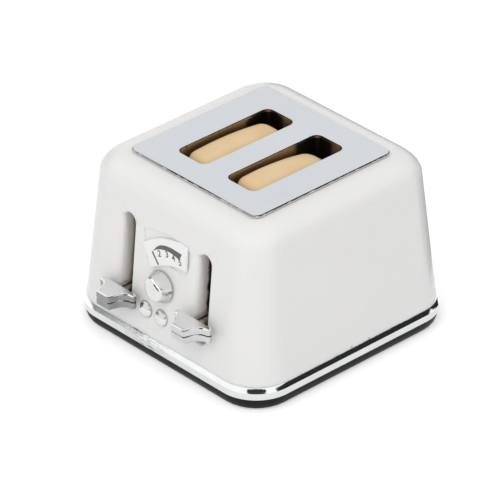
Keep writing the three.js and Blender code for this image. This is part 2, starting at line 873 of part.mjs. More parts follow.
const finishes = {
  enamel: { color: 0xf0efed, roughness: 0.32, metalness: 0 },
  chrome: { color: 0xe4e7ea, roughness: 0.12, metalness: 1 },
  plate: { color: 0xd6dade, roughness: 0.28, metalness: 1 },
  dark: { color: 0x454547, roughness: 0.55, metalness: 0 },
  gloss: { color: 0x2b2622, roughness: 0.18, metalness: 0 },
  print: { color: 0xf7f7f5, roughness: 0.4, metalness: 0 },
  steel: { color: 0xb9bcc0, roughness: 0.35, metalness: 1 },
  nylon: { color: 0x2e2e30, roughness: 0.6, metalness: 0 },
  silicone: { color: 0x8f9396, roughness: 0.8, metalness: 0 },
  crumb: { color: 0xdfc59b, roughness: 0.85, metalness: 0 },
};

const toaster = new THREE.Group();

// Adds a solid to a group as a named mesh with its own material.
function put(name, piece, finish, group = toaster) {
  const { vertProperties, triVerts } = piece.getMesh();
  const geometry = new THREE.BufferGeometry();
  geometry.setAttribute("position", new THREE.BufferAttribute(vertProperties, 3));
  geometry.setIndex(new THREE.BufferAttribute(triVerts, 1));
  geometry.computeVertexNormals();
  const mesh = new THREE.Mesh(geometry, new THREE.MeshStandardMaterial(finishes[finish]));
  mesh.name = name;
  group.add(mesh);
  return mesh;
}

put("housing", housing(), "enamel");
put("top_plate", topPlate(), "plate");
put("base_band", baseBand(), "chrome");
put("base", base(), "dark");
put("dial_plate", dialPlate(), "print");

const knobGroup = new THREE.Group();
put("knob", knob(), "chrome", knobGroup);
put("knob_washer", knobWasher(), "steel", knobGroup);
toaster.add(knobGroup);

put("button_bracket", buttonBracket(), "nylon");
bossPlaces().forEach(({ x, height }, i) => {
  const turnIn = new THREE.Matrix4().makeTranslation(0, 0, -bracketSeat() - bracketThickness);
  const place = onFace(x, height).multiply(turnIn);
  const made = screw(
    bracketScrewHead,
    bracketScrewHeadHeight,
    bracketScrewRadius,
    bracketThickness + bracketScrewLength - seatGap,
    place,
  );
  put("bracket_screw_" + ["lower", "upper"][i], made, "steel");
});
for (const [name, x] of Object.entries(buttonPlaces)) {
  put("button_" + name, button(x), "chrome");
  put("button_pad_" + name, buttonPad(x), "silicone");
}

for (const side of Object.keys(sides)) {
  put("well_" + side, well(sides[side]), "gloss");
  put("guide_rod_" + side, guideRod(side), "steel");
  const lift = new THREE.Group();
  put("lever_" + side, lever(side), "chrome", lift);
  put("carriage_" + side, carriage(side), "nylon", lift);
  put("lever_screw_" + side, leverScrew(side), "steel", lift);
  put("bread_" + side, slice(side), "crumb", lift);
  toaster.add(lift);
}

screwPlaces().forEach(([x, y], i) => {
  const name = "base_screw_" + ["front_left", "front_right", "back_left", "back_right"][i];
  const place = at(x, y, baseScrewFoot());
  put(name, screw(baseScrewHead, baseScrewHeadHeight, baseScrewRadius, baseScrewLength, place), "steel");
});

export default toaster;
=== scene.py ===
import math

import bmesh
import bpy
from mathutils import Matrix, Vector


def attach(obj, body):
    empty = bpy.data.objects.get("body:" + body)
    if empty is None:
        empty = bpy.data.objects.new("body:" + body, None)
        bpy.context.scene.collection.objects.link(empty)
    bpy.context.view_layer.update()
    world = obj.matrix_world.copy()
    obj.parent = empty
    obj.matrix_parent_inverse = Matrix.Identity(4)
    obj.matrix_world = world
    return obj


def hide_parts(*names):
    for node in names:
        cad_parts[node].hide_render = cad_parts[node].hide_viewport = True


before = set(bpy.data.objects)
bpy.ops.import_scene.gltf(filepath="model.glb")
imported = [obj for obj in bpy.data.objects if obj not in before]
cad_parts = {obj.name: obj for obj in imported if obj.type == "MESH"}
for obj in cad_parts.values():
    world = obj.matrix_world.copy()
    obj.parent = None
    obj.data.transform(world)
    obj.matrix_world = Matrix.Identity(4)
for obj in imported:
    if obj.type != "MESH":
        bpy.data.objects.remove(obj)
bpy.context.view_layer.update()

# Camera
# A long lens from the front right and well above, rolled a hair, as the photograph was taken.
mm = 0.001
camera_turn = (
    Matrix.Rotation(math.radians(47.312), 4, "Z")
    @ Matrix.Rotation(math.radians(90 - 31.516), 4, "X")
    @ Matrix.Rotation(math.radians(-0.307), 4, "Z")
)
camera_place = Vector((-2.242, 12.737, 917.2)) * mm
camera_data = bpy.data.cameras.new("camera")
camera_data.sensor_width = 36
camera_data.lens = 335.34
camera = bpy.data.objects.new("camera", camera_data)
camera.matrix_world = camera_turn @ Matrix.Translation(camera_place)
bpy.context.scene.collection.objects.link(camera)
bpy.context.scene.camera = camera
bpy.context.scene.view_settings.view_transform = "Standard"


# Studio
# A pale floor under a white sky, with one broad soft lamp over the camera.
def linked(name, data):
    thing = bpy.data.objects.new(name, data)
    bpy.context.scene.collection.objects.link(thing)
    return thing


def emptied_tree(holder):
    holder.use_nodes = True
    holder.node_tree.nodes.clear()
    return holder.node_tree


def add_node(tree, kind, settings=None, **inputs):
    """A node with its settings; an input given as _0 goes by number, and the others by name."""
    node = tree.nodes.new(kind)
    for key, value in (settings or {}).items():
        setattr(node, key, value)
    for key, value in inputs.items():
        socket = node.inputs[int(key[1:])] if key[0] == "_" else node.inputs[key.replace("_", " ")]
        if isinstance(value, bpy.types.NodeSocket):
            tree.links.new(value, socket)
        else:
            socket.default_value = value
    return node


def calculated(tree, operation, *values):
    """The result of a Math node on the values, such as MULTIPLY on two."""
    inputs = {f"_{number}": value for number, value in enumerate(values)}
    return add_node(tree, "ShaderNodeMath", {"operation": operation}, **inputs).outputs[0]


def seen_directly(tree):
    """1 for what the camera, a mirror or glass sees, and 0 for what only lights the object."""
    path = add_node(tree, "ShaderNodeLightPath").outputs
    seen = path["Is Camera Ray"]
    for name in ("Is Glossy Ray", "Is Transmission Ray"):
        seen = calculated(tree, "MAXIMUM", seen, path[name])
    return seen


white_sky = bpy.data.worlds.new("white_sky")
bpy.context.scene.world = white_sky
tree = emptied_tree(white_sky)
lit = add_node(tree, "ShaderNodeBackground", Color=(1, 1, 1, 1), Strength=0.71)
seen = add_node(tree, "ShaderNodeBackground", Color=(1, 1, 1, 1), Strength=1)
sky = add_node(
    tree, "ShaderNodeMixShader", _0=seen_directly(tree), _1=lit.outputs[0], _2=seen.outputs[0]
)
add_node(tree, "ShaderNodeOutputWorld", Surface=sky.outputs[0])

lamp_data = bpy.data.lights.new("soft_lamp", "AREA")
lamp_data.shape = "SQUARE"
lamp_data.size = 0.8
lamp_data.energy = 3.5
soft_lamp = linked("soft_lamp", lamp_data)
soft_lamp.visible_glossy = False
lamp_place = Vector((0.34, -0.52, 0.7))
lamp_turn = lamp_place.to_track_quat("Z", "Y").to_matrix().to_4x4()
soft_lamp.matrix_world = Matrix.Translation(lamp_place) @ lamp_turn

shape = bmesh.new()
bmesh.ops.create_grid(shape, x_segments=1, y_segments=1, size=3)
floor_mesh = bpy.data.meshes.new("floor")
shape.to_mesh(floor_mesh)
shape.free()
floor = linked("floor", floor_mesh)
floor_paper = bpy.data.materials.new("floor_paper")
tree = emptied_tree(floor_paper)
paper = add_node(tree, "ShaderNodeBsdfDiffuse", Color=(0.8, 0.8, 0.8, 1))
lift = calculated(tree, "MULTIPLY", seen_directly(tree), 0.4)
glow = add_node(tree, "ShaderNodeEmission", Color=(1, 1, 1, 1), Strength=lift)
both = add_node(tree, "ShaderNodeAddShader", _0=paper.outputs[0], _1=glow.outputs[0])
add_node(tree, "ShaderNodeOutputMaterial", Surface=both.outputs[0])
floor_mesh.materials.append(floor_paper)


# Flags
# Dark cards round the set, which only glossy surfaces see: they draw the dark lines along
# the chrome. Three are bent round the set, and a small oval one stands off the front corner.
card_distance = 0.6
black_felt = 0.022
grey_felt = 0.28


def finished_card(shape, name, shade):
    card_mesh = bpy.data.meshes.new(name)
    shape.to_mesh(card_mesh)
    shape.free()
    card = linked(name, card_mesh)
    felt = bpy.data.materials.new(name)
    tree = emptied_tree(felt)
    dark = add_node(tree, "ShaderNodeEmission", Color=(shade, shade, shade, 1), Strength=1)
    add_node(tree, "ShaderNodeOutputMaterial", Surface=dark.outputs[0])
    card_mesh.materials.append(felt)
    card.visible_camera = False
    card.visible_diffuse = False
    card.visible_shadow = False


# A card's profile is given by turn, reach and height in degrees, metres and metres, and
# is swept on from there by so many degrees
for name, sweep, shade, profile in [
    ("flag_right", 60, black_felt, [(16, card_distance, 0.02), (2.6, card_distance, 0.13)]),
    (
        "flag_back",
        80,
        black_felt,
        [(56, 0.048, 0.0001), (56, card_distance, 0.0001), (56, card_distance, 0.2)],
    ),
    ("flag_left", 71.3, grey_felt, [(160, card_distance, 0.02), (160, card_distance, 0.27)]),
]:
    shape = bmesh.new()
    points = []
    for turn, reach, rise in profile:
        angle = math.radians(turn)
        spot = (math.cos(angle) * reach, math.sin(angle) * reach, rise)
        points.append(shape.verts.new(spot))
    edges = [shape.edges.new(pair) for pair in zip(points, points[1:])]
    bmesh.ops.spin(
        shape,
        geom=points + edges,
        axis=(0, 0, 1),
        cent=(0, 0, 0),
        angle=math.radians(sweep),
        steps=24,
    )
    finished_card(shape, name, shade)

# The oval one is near and low, so that the top plate seen from behind doesn't mirror it
oval_distance = 0.15
shape = bmesh.new()
bmesh.ops.create_circle(shape, cap_ends=True, radius=oval_distance, segments=48)
oval = Matrix.Diagonal((0.45, 0.105, 1, 1))
lower = Matrix.Rotation(math.radians(15), 4, "X")
band_corner = Matrix.Translation((0.0247, -0.0247, 0.0048))
aside = Matrix.Translation((0, 0, oval_distance))
shape.transform(band_corner @ camera_turn @ lower @ aside @ oval)
finished_card(shape, "flag_camera", 0.035)


# Base tray
# Dark satin plastic with a rounded foot. It is one moulding with its rim and screw seats,
# so its solid is kept, with smooth faces and softened edges.
def surface(name, **inputs):
    """A material with one Principled shader, whose sockets take the values given."""
    material = bpy.data.materials.new(name)
    tree = emptied_tree(material)
    shader = add_node(tree, "ShaderNodeBsdfPrincipled", **inputs)
    add_node(tree, "ShaderNodeOutputMaterial", Surface=shader.outputs[0])
    place = add_node(tree, "ShaderNodeTexCoord").outputs["Object"]
    return material, tree, shader, place


def effect(name, **values):
    """A group with a place and named values as its inputs, and one value as its output."""
    group = bpy.data.node_groups.new(name, "ShaderNodeTree")
    group.interface.new_socket("Place", in_out="INPUT", socket_type="NodeSocketVector")
    for key, value in values.items():
        socket = group.interface.new_socket(key, in_out="INPUT", socket_type="NodeSocketFloat")
        socket.default_value = value
    group.interface.new_socket("Value", in_out="OUTPUT", socket_type="NodeSocketFloat")
    given = group.nodes.new("NodeGroupInput")
    result = group.nodes.new("NodeGroupOutput")
    return group, given.outputs, result.inputs[0]


def placed(tree, group, place, **values):
    """The value that an effect gives in a material."""
    node = add_node(tree, "ShaderNodeGroup", {"node_tree": group}, Place=place, **values)
    return node.outputs[0]


def ranged(tree, value, low, high, new_low, new_high):
    node = add_node(
        tree,
        "ShaderNodeMapRange",
        Value=value,
        From_Min=low,
        From_Max=high,
        To_Min=new_low,
        To_Max=new_high,
    )
    return node.outputs[0]


def mixed(tree, mask, first, second):
    node = add_node(tree, "ShaderNodeMix", {"data_type": "RGBA"}, _0=mask, _6=first, _7=second)
    return node.outputs[2]


def product(tree, *values):
    """The values multiplied together."""
    total = values[0]
    for value in values[1:]:
        total = calculated(tree, "MULTIPLY", total, value)
    return total


def bumped(tree, shader, height, strength, distance):
    bump = add_node(tree, "ShaderNodeBump", Height=height, Strength=strength, Distance=distance)
    tree.links.new(bump.outputs[0], shader.inputs["Normal"])


def noise_at(tree, place, scale, detail, roughness):
    node = add_node(
        tree,
        "ShaderNodeTexNoise",
        Vector=place,
        Scale=scale,
        Detail=detail,
        Roughness=roughness,
    )
    return node.outputs[0]


# Soft patches left by handling and by the mould
patches, given, result = effect("patches", Scale=80.0)
noise = noise_at(patches, given["Place"], given["Scale"], 3.0, 0.6)
patches.links.new(ranged(patches, noise, 0.3, 0.7, 0.0, 1.0), result)

# Fine grain of a moulded or rolled skin
grain, given, result = effect("grain", Scale=2500.0)
grain.links.new(noise_at(grain, given["Place"], given["Scale"], 2.0, 0.5), result)

# Scattered specks of dirt: small dots in a few of many cells
specks, given, result = effect("specks", Scale=240.0, Size=0.12, Share=0.1)
cells = add_node(specks, "ShaderNodeTexVoronoi", Vector=given["Place"], Scale=given["Scale"])
chosen = add_node(specks, "ShaderNodeSeparateColor", Color=cells.outputs["Color"])
rare = calculated(specks, "LESS_THAN", chosen.outputs[0], given["Share"])
near = calculated(specks, "LESS_THAN", cells.outputs["Distance"], given["Size"])
specks.links.new(product(specks, rare, near), result)


def merged(node):
    """A copy of a solid's mesh with its corners joined."""
    shape = bmesh.new()
    shape.from_mesh(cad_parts[node].data)
    bmesh.ops.remove_doubles(shape, verts=shape.verts, dist=0.002 * mm)
    return shape


def finished(shape, node, name, body, slot, *materials, softened=0, corner=28):
    """A piece from its mesh in metres, smooth but for corners, on its body. Its slot is not used.
    """
    for face in shape.faces:
        face.smooth = True
    for edge in shape.edges:
        folded = len(edge.link_faces) != 2 or edge.calc_face_angle(0) > math.radians(corner)
        edge.smooth = not folded
    mesh = bpy.data.meshes.new(name)
    shape.to_mesh(mesh)
    shape.free()
    piece = linked(name, mesh)
    for material in materials:
        mesh.materials.append(material)
    if softened:
        bevel = piece.modifiers.new("softened_edges", "BEVEL")
        bevel.width = softened * mm
        bevel.segments = 3
        bevel.limit_method = "ANGLE"
        bevel.angle_limit = math.radians(corner)
    weighted = piece.modifiers.new("flat_faces", "WEIGHTED_NORMAL")
    weighted.keep_sharp = True
    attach(piece, body)
    if node:
        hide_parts(node)
    return piece


base_plastic, tree, shader, place = surface("base_plastic", Roughness=0.42, Specular_IOR_Level=0.12)
worn = placed(tree, patches, place, Scale=140.0)
tone = mixed(tree, worn, (0.011, 0.011, 0.011, 1), (0.018, 0.018, 0.018, 1))
dust = placed(tree, specks, place, Scale=420.0, Size=0.14, Share=0.12)
tone = mixed(tree, dust, tone, (0.22, 0.21, 0.2, 1))
tree.links.new(tone, shader.inputs["Base Color"])
tree.links.new(ranged(tree, worn, 0, 1, 0.36, 0.5), shader.inputs["Roughness"])
bumped(tree, shader, placed(tree, grain, place, Scale=3200.0), 0.25, 0.00003)
finished(merged("base"), "base", "base_tray", "toaster", "dark_base", base_plastic, softened=0.1)


# Band
# A ring of plated metal round the foot of the housing, with an upright land and a sloping
# top. The plating is scuffed along the front, and the scuffs are also a painted dark reflection.
def outlined(shape, corners, z=0, segments=8):
    """A flat face in millimetres, alone in its shape. A corner is X, Y and the length of its
    sides that its rounding takes up. Returns the face."""
    points = [shape.verts.new((x, y, z)) for x, y, _ in corners]
    shape.faces.new(points)
    for point, (_, _, rounding) in zip(points, corners):
        if rounding:
            bmesh.ops.bevel(
                shape,
                geom=[point],
                offset=rounding,
                affect="VERTICES",
                segments=segments,
                profile=0.5,
                material=-1,
            )
    shape.faces.ensure_lookup_table()
    return shape.faces[0]


def ringed(levels, segments):
    """A closed ring in metres through square outlines of half size, corner and height."""
    shape = bmesh.new()
    rims = []
    for half, corner, z in levels:
        square = [(half, half), (-half, half), (-half, -half), (half, -half)]
        face = outlined(shape, [(x, y, corner) for x, y in square], z, segments)
        rims.append(list(face.edges))
        bmesh.ops.delete(shape, geom=[face], context="FACES_ONLY")
    for lower, upper in zip(rims, rims[1:] + rims[:1]):
        bmesh.ops.bridge_loops(shape, edges=lower + upper)
    bmesh.ops.recalc_face_normals(shape, faces=shape.faces)
    shape.transform(Matrix.Scale(mm, 4))
    return shape


def separated(tree, place):
    """The place's X, Y and Z."""
    return add_node(tree, "ShaderNodeSeparateXYZ", Vector=place).outputs


# Level scratches: noise drawn out along the sides of the object
scratches, given, result = effect("scratches", Scale=50.0)
drawn = add_node(scratches, "ShaderNodeMapping", Vector=given["Place"], Scale=(1.0, 1.0, 30.0))
scratches.links.new(noise_at(scratches, drawn.outputs[0], given["Scale"], 3.0, 0.7), result)

band_chrome = {}
# The upright land takes a darker copy of the plating than the slope: painted shade
for name, bright, dull in [("slope", 0.97, 0.91), ("land", 0.72, 0.67)]:
    material, tree, shader, place = surface("band_" + name, Metallic=1.0, Roughness=0.05)
    worn = placed(tree, patches, place, Scale=220.0)
    tone = mixed(
        tree,
        worn,
        (bright * 0.985, bright, bright * 1.01, 1),
        (dull * 0.985, dull, dull * 1.01, 1),
    )
    # The dark scuffs lie along the front, left of its middle: wear in the plating, and a painted
    # dark reflection as well
    spot = separated(tree, place)
    lines = placed(tree, scratches, place, Scale=260.0)
    scuffs_and_dark_reflection = product(
        tree,
        ranged(tree, spot["X"], -0.011, -0.007, 0, 1),
        ranged(tree, spot["X"], -0.002, 0.004, 1, 0),
        ranged(tree, spot["Y"], -0.0262, -0.0264, 0, 1),
        ranged(tree, lines, 0.52, 0.6, 0, 0.85),
    )
    tone = mixed(tree, scuffs_and_dark_reflection, tone, (0.1, 0.1, 0.1, 1))
    tree.links.new(tone, shader.inputs["Base Color"])
    tree.links.new(ranged(tree, worn, 0, 1, 0.03, 0.08), shader.inputs["Roughness"])
    bumped(tree, shader, lines, 0.06, 0.00005)
    band_chrome[name] = material

# The slope is a hair rounder than flat, so lines that it mirrors end in points
band_levels = [
    (27.24, 8.5, 2.8),
    (27.24, 8.5, 4.2),
    (26.94, 8.19, 4.89),
    (26.77, 8.02, 5.2),
    (25.07, 6.7, 5.2),
    (25.07, 6.7, 2.8),
]
band_finishes = list(band_chrome.values())
band = finished(
    ringed(band_levels, 24),
    "base_band",
    "band",
    "toaster",
    "bright_trim",
    *band_finishes,
    softened=0.07,
    corner=20,
)
for face in band.data.polygons:
    finish = band_chrome["land" if abs(face.normal.z) < 0.2 else "slope"]
    face.material_index = band_finishes.index(finish)


# Housing
# One white gloss moulding with wide soft shoulders, open slots for the levers and a shallow
# seat for the scale. Its skin has a faint ripple and a few specks of handling dirt.
# The front leans back by the draft, from its foot over the band.
draft = math.radians(5.5)
front_slope = math.tan(draft)
front_foot = 26.67
foot_height = 5.2
slot_middle = 10.8
slot_half = 1.75


def weighted_sum(tree, *terms):
    """The sum of values, each given with its factor."""
    total = 0.0
    for value, factor in terms:
        total = calculated(tree, "MULTIPLY_ADD", value, factor, total)
    return total


# Long low waves in a moulded or plated skin
waves, given, result = effect("waves", Scale=60.0)
waves.links.new(noise_at(waves, given["Place"], given["Scale"], 1.0, 0.3), result)

white_moulding, tree, shader, place = surface(
    "white_moulding",
    Roughness=0.28,
    Subsurface_Weight=0.35,
    Subsurface_Radius=(1.0, 0.85, 0.7),
    Subsurface_Scale=0.001,
)
broad = placed(tree, waves, place, Scale=110.0)
fine = placed(tree, grain, place, Scale=1500.0)
worn = weighted_sum(tree, (broad, 1.0), (fine, 1.0), (-0.5, 1.0))
tone = mixed(tree, worn, (0.834, 0.829, 0.821, 1), (0.808, 0.803, 0.793, 1))
dirt = placed(tree, specks, place, Scale=150.0, Size=0.035, Share=0.16)
tone = mixed(tree, dirt, tone, (0.42, 0.4, 0.37, 1))
# Painted shade darkens the openings in the face, by their depth behind the drafted front
spot = separated(tree, place)
across = calculated(tree, "ABSOLUTE", spot["X"])
cloud = placed(tree, patches, place, Scale=500.0)
depth = weighted_sum(
    tree,
    (spot["Y"], 1.0),
    (spot["Z"], -front_slope),
    ((front_foot + front_slope * foot_height) * mm, 1.0),
    (cloud, 0.0005),
)
near_openings = product(
    tree,
    ranged(tree, across, 0.0132, 0.0138, 1, 0),
    ranged(tree, spot["Z"], 0.0292, 0.0296, 1, 0),
    ranged(tree, spot["Y"], -0.0205, -0.02, 1, 0),
)
painted_slot_shade = product(tree, near_openings, ranged(tree, depth, 0.0014, 0.0032, 0, 1))
tone = mixed(tree, painted_slot_shade, tone, (0.76, 0.67, 0.58, 1))
# Deeper in, the painted shade goes near black, fuller in the right slot than in the left one
painted_deep_slot_shade = product(
    tree,
    near_openings,
    ranged(tree, depth, 0.0029, 0.0034, 0, 1),
    ranged(tree, spot["X"], -0.001, 0.001, 0.45, 1),
)
tone = mixed(tree, painted_deep_slot_shade, tone, (0.02, 0.017, 0.014, 1))
tree.links.new(tone, shader.inputs["Base Color"])
bumped(tree, shader, placed(tree, waves, place, Scale=90.0), 0.2, 0.0005)


def behind_front(point):
    """Depth behind the drafted front face, in millimetres."""
    _, y, z = point.co / mm
    return (y + front_foot - front_slope * (z - foot_height)) * math.cos(draft)


# The left edges of the lever slots are rounded far wider than the right ones: the flat front
# is taken off, the rims of the slots are moved, and the front is filled again
shape = merged("housing")
front = []
for face in shape.faces:
    if all(abs(behind_front(point)) < 0.01 for point in face.verts):
        front.append(face)
rim = []
for face in front:
    for edge in face.edges:
        if sum(near in front for near in edge.link_faces) == 1:
            rim.append(edge)
bmesh.ops.delete(shape, geom=front, context="FACES")
slot_flare = 0.25
flare_grown = 0.6
for point in shape.verts:
    x, _, z = point.co / mm
    inside = behind_front(point)
    for middle in (-slot_middle, slot_middle):
        leftness = min((middle - x) / slot_half, 1)
        in_slot = abs(x - middle) < slot_half + 0.35 and 9 < z < 29.5
        if in_slot and leftness > 0:
            if abs(inside) < 0.03:
                # The outer rim moves left
                point.co.x -= flare_grown * leftness * mm
            elif abs(inside - slot_flare) < 0.03:
                # The inner rim moves back
                point.co.y += flare_grown * leftness * mm
bmesh.ops.triangle_fill(
    shape, use_beauty=True, edges=rim, normal=(0, -math.cos(draft), math.sin(draft))
)
finished(
    shape,
    "housing",
    "housing_shell",
    "toaster",
    "white_shell",
    white_moulding,
    softened=0.12,
    corner=50,
)


# Top plate
# A thin bright plate pressed onto the roof, with two slots for the bread. Its cut edges are dull,
# and flecked where the plating has broken; those in the slots are painted dark and brown, a painted
# reflection of the wells and the bread.
plate_metal, tree, shader, place = surface("plate_metal", Metallic=1.0, Roughness=0.14)
worn = placed(tree, patches, place, Scale=60.0)
tone = mixed(tree, worn, (0.665, 0.685, 0.715, 1), (0.64, 0.66, 0.69, 1))
tree.links.new(tone, shader.inputs["Base Color"])
tree.links.new(ranged(tree, worn, 0, 1, 0.12, 0.2), shader.inputs["Roughness"])
bumped(tree, shader, placed(tree, grain, place, Scale=1600.0), 0.03, 0.00003)

plate_side, tree, shader, place = surface("plate_side", Metallic=1.0, Roughness=0.25)
worn = placed(tree, patches, place, Scale=300.0)
tone = mixed(tree, worn, (0.82, 0.81, 0.78, 1), (0.7, 0.69, 0.66, 1))
level = separated(tree, place)["Z"]
chips = placed(tree, grain, place, Scale=1300.0)
# A painted contact shadow along the foot of the edge, and breaks in the plating along its top
foot = product(tree, ranged(tree, level, 0.03714, 0.03724, 1, 0), 0.7)
tone = mixed(tree, foot, tone, (0.12, 0.1, 0.08, 1))
near_top = ranged(tree, level, 0.03738, 0.03746, 0, 1)
breaks = product(tree, near_top, ranged(tree, chips, 0.42, 0.5, 0, 1))
tone = mixed(tree, breaks, tone, (0.03, 0.027, 0.024, 1))
tree.links.new(tone, shader.inputs["Base Color"])

plate_arris = {}
# The slot edges and walls are painted dark and brown as a painted reflection of the wells and
# bread; their flecks are breaks in the plating
for name, share, sound in [
    ("whole", 0.68, (0.3, 0.29, 0.28, 1)),
    ("broken", 0.78, (0.5, 0.49, 0.47, 1)),
    ("slot_edge", 0.6, (0.13, 0.105, 0.08, 1)),
    ("slot_wall", 0.3, (0.42, 0.34, 0.25, 1)),
]:
    material, tree, shader, place = surface("arris_" + name, Metallic=1.0, Roughness=0.3)
    chips = placed(tree, grain, place, Scale=1300.0)
    flecks = ranged(tree, chips, 0.97 - share, 1.03 - share, 0.0, 1.0)
    if name == "broken":
        # The breaks lie along the middle of the front edge
        across = calculated(tree, "ABSOLUTE", separated(tree, place)["X"])
        flecks = product(tree, flecks, ranged(tree, across, 0.0055, 0.0105, 1, 0.15))
    tone = mixed(tree, flecks, sound, (0.02, 0.018, 0.016, 1))
    tree.links.new(tone, shader.inputs["Base Color"])
    bumped(tree, shader, chips, 0.2, 0.0001)
    plate_arris[name] = material

plate_finishes = [plate_metal, plate_side, *plate_arris.values()]
plate = finished(
    merged("top_plate"),
    "top_plate",
    "plate",
    "toaster",
    "bright_plate",
    *plate_finishes,
    corner=25,
)
for face in plate.data.polygons:
    x, y, _ = face.center / mm
    in_slots = abs(x) < 12 and abs(y) < 13
    level = abs(face.normal.z)
    if level > 0.95:
        finish = plate_metal
    elif in_slots:
        finish = plate_arris["slot_wall" if level < 0.3 else "slot_edge"]
    elif level < 0.3:
        finish = plate_side
    else:
        finish = plate_arris["broken" if y < -17.5 else "whole"]
    face.material_index = plate_finishes.index(finish)


# Wells
# Plated tubes under the slots, which guide the bread and mirror it. Their metal is painted brown
# and dark inside: painted shade and a painted reflection of the bread.
well_middle = 6.95
well_half_across = 3.9
well_half_along = 12.05
corner_shade_across = 3.6
corner_shade_along = 5
for side, middle in [("left", -well_middle), ("right", well_middle)]:
    well_metal, tree, shader, place = surface("well_metal_" + side, Metallic=1.0, Roughness=0.2)
    worn = placed(tree, patches, place, Scale=120.0)
    tone = mixed(tree, worn, (0.48, 0.39, 0.28, 1), (0.4, 0.32, 0.22, 1))
    # Painted shade blackens the back left corner, with a ragged edge
    spot = separated(tree, place)
    ragged = placed(tree, patches, place, Scale=600.0)
    far = weighted_sum(
        tree,
        (spot["X"], 1 / (corner_shade_across * mm)),
        ((well_half_across - middle) / corner_shade_across, 1.0),
        (spot["Y"], -1 / (corner_shade_along * mm)),
        (well_half_along / corner_shade_along, 1.0),
        (ragged, 0.2),
    )
    painted_corner_shade = ranged(tree, far, 0.98, 1.22, 0.95, 0)
    tone = mixed(tree, painted_corner_shade, tone, (0.02, 0.018, 0.016, 1))
    tree.links.new(tone, shader.inputs["Base Color"])
    tree.links.new(ranged(tree, painted_corner_shade, 0, 1, 0.34, 0.5), shader.inputs["Roughness"])
    bumped(tree, shader, placed(tree, patches, place, Scale=300.0), 0.08, 0.0001)
    finished(
        merged("well_" + side),
        "well_" + side,
        "well_tube_" + side,
        "toaster",
        "dark_well",
        well_metal,
    )


# Slices
# Two hard cast slices of bread with crowned tops, round edges and a warm cream crumb. They
# rest on the shelves of the carriages.
def thickened(shape, height, rounding, foot_rounding=None, segments=5):
    """Raises the lone face to a solid of that height, and rounds its rims as told."""
    made = bmesh.ops.extrude_face_region(shape, geom=list(shape.faces))
    risen = [item for item in made["geom"] if isinstance(item, bmesh.types.BMVert)]
    bmesh.ops.translate(shape, verts=risen, vec=(0, 0, height))
    bmesh.ops.recalc_face_normals(shape, faces=shape.faces)
    if foot_rounding is None:
        foot_rounding = rounding
    for way, size in ((1, rounding), (-1, foot_rounding)):
        if size:
            flat = [face for face in shape.faces if face.normal.z * way > 0.99]
            bmesh.ops.bevel(
                shape,
                geom=[edge for face in flat for edge in face.edges],
                offset=size,
                affect="EDGES",
                segments=segments,
                profile=0.5,
                material=-1,
            )
    return shape


crumb, tree, shader, place = surface("crumb", Roughness=0.7)
baked = placed(tree, patches, place, Scale=110.0)
tone = mixed(tree, baked, (0.82, 0.615, 0.36, 1), (0.74, 0.525, 0.29, 1))
pores = placed(tree, specks, place, Scale=1500.0, Size=0.25, Share=0.25)
faint = ranged(tree, pores, 0, 1, 0, 0.35)
tone = mixed(tree, faint, tone, (0.62, 0.42, 0.21, 1))
tree.links.new(tone, shader.inputs["Base Color"])
bumped(tree, shader, placed(tree, grain, place, Scale=1800.0), 0.25, 0.0001)

slice_half = 10.6
slice_thickness = 6.9
slice_foot = 16.2
# The crown is higher than the shoulders at the front and the back
crown = 21.3
for side, middle, front, back, back_corner in [
    ("left", -well_middle, 20.8, 20.0, 2.4),
    ("right", well_middle, 21.1, 19.3, 4),
]:
    shape = bmesh.new()
    outlined(
        shape,
        [
            (-slice_half, 0, 1.6),
            (slice_half, 0, 1.6),
            (slice_half, back, back_corner),
            (0, crown, 5.5),
            (-slice_half, front, 2.4),
        ],
        segments=12,
    )
    # Rounded evenly while thinner, the slice then swells to pillowed sides
    swelling = 1.9
    thickened(shape, slice_thickness / swelling, 1.5, segments=8)
    upright = Matrix(((0, 0, swelling, 0), (1, 0, 0, 0), (0, 1, 0, 0), (0, 0, 0, 1)))
    seat = Matrix.Translation((middle - slice_thickness / 2, 0, slice_foot))
    shape.transform(Matrix.Scale(mm, 4) @ seat @ upright)
    finished(shape, "bread_" + side, "slice_" + side, side + "_slice", "bread", crumb, corner=60)


# Levers
# Plated handles in two tiers with a groove between them, and a stem through the slot.
# Their plating is toned by facing: a painted highlight on the top arris, painted shade on the
# sides, darker on the left one's sides as a painted reflection, and painted dark streaks.
handle_chrome = {}
